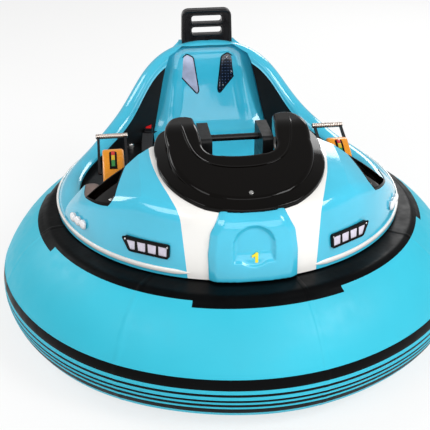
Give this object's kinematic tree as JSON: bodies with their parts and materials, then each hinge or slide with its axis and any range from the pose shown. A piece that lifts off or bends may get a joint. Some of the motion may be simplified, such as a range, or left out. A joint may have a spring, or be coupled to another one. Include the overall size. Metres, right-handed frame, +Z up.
{
  "type": "bumper car",
  "caption": "Round inflatable-ring bumper car with a moulded glass-fibre body, black cowl, bucket seat with headrest, side control grips, drive wheels and swivel casters.",
  "frame": {"origin": "middle of the bounding box in plan, on the floor", "axes": "the car faces -Y, +X is the driver's left, +Z is up"},
  "size_m": [1.7504, 1.7502, 0.957],
  "materials": {
    "pvc_blue": "welded PVC-coated fabric, slight sheen",
    "gel_blue": "glossy gel-coated glass fibre",
    "gel_white": "glossy gel-coated glass fibre",
    "gloss_black": "glossy black moulding",
    "matt_black": "grained black plastic and padding",
    "lamp_lens": "frosted clear lens",
    "box_yellow": "amber yellow moulded plastic",
    "steel": "bright steel",
    "frame_paint": "black enamelled steel tube",
    "motor_grey": "dark grey painted motor case",
    "tyre": "solid black rubber"
  },
  "bodies": {
    "car": {"bumper_tube": "pvc_blue", "front_saddle": "gel_white", "flank_left": "gel_blue", "flank_right": "gel_blue", "scoop_panel_left": "gloss_black", "scoop_panel_right": "gloss_black", "rear_shell": "gel_blue", "nose_panel": "gel_blue", "cowl_lip": "gloss_black", "cowl_hood": "gloss_black", "arm_pads": "matt_black", "lap_bar": "matt_black", "rim_stripe_left": "gel_white", "rim_stripe_right": "gel_white", "headlamp_bezel_left": "gloss_black", "headlamp_bezel_right": "gloss_black", "headlamp_cells_left": "lamp_lens", "headlamp_cells_right": "lamp_lens", "side_marker_left": "lamp_lens", "side_marker_right": "lamp_lens", "back_inset_left": "gloss_black", "back_inset_right": "lamp_lens", "seat": "gel_blue", "headrest": "matt_black", "cockpit_tub": "matt_black", "control_box_left": "box_yellow", "control_box_right": "box_yellow", "box_post_left": "matt_black", "box_post_right": "matt_black", "tub_floor": "matt_black", "tub_low_wall": "matt_black", "control_grip_left": "steel", "control_grip_right": "steel", "chassis_frame": "frame_paint", "battery_pack": "matt_black", "gear_motor_left": "motor_grey", "gear_motor_right": "motor_grey"},
    "drive_wheel_left": {"drive_tyre_left": "tyre", "drive_hub_left": "steel"},
    "drive_wheel_right": {"drive_tyre_right": "tyre", "drive_hub_right": "steel"},
    "caster_front": {"caster_fork_front": "steel"},
    "caster_wheel_front": {"caster_wheel_front": "tyre"},
    "caster_rear": {"caster_fork_rear": "steel"},
    "caster_wheel_rear": {"caster_wheel_rear": "tyre"}
  },
  "joints": [
    {"name": "drive_wheel_left_spin", "type": "hinge", "parent": "car", "child": "drive_wheel_left", "pos_m": [0.335, 0.04, 0.105], "axis": [1, 0, 0], "continuous": true},
    {"name": "drive_wheel_right_spin", "type": "hinge", "parent": "car", "child": "drive_wheel_right", "pos_m": [-0.335, 0.04, 0.105], "axis": [1, 0, 0], "continuous": true},
    {"name": "caster_front_swivel", "type": "hinge", "parent": "car", "child": "caster_front", "pos_m": [0, -0.34, 0.168], "axis": [0, 0, 1], "continuous": true},
    {"name": "caster_wheel_front_spin", "type": "hinge", "parent": "caster_front", "child": "caster_wheel_front", "pos_m": [0, -0.3, 0.062], "axis": [1, 0, 0], "continuous": true},
    {"name": "caster_rear_swivel", "type": "hinge", "parent": "car", "child": "caster_rear", "pos_m": [0, 0.34, 0.168], "axis": [0, 0, 1], "continuous": true},
    {"name": "caster_wheel_rear_spin", "type": "hinge", "parent": "caster_rear", "child": "caster_wheel_rear", "pos_m": [0, 0.38, 0.062], "axis": [1, 0, 0], "continuous": true}
  ]
}
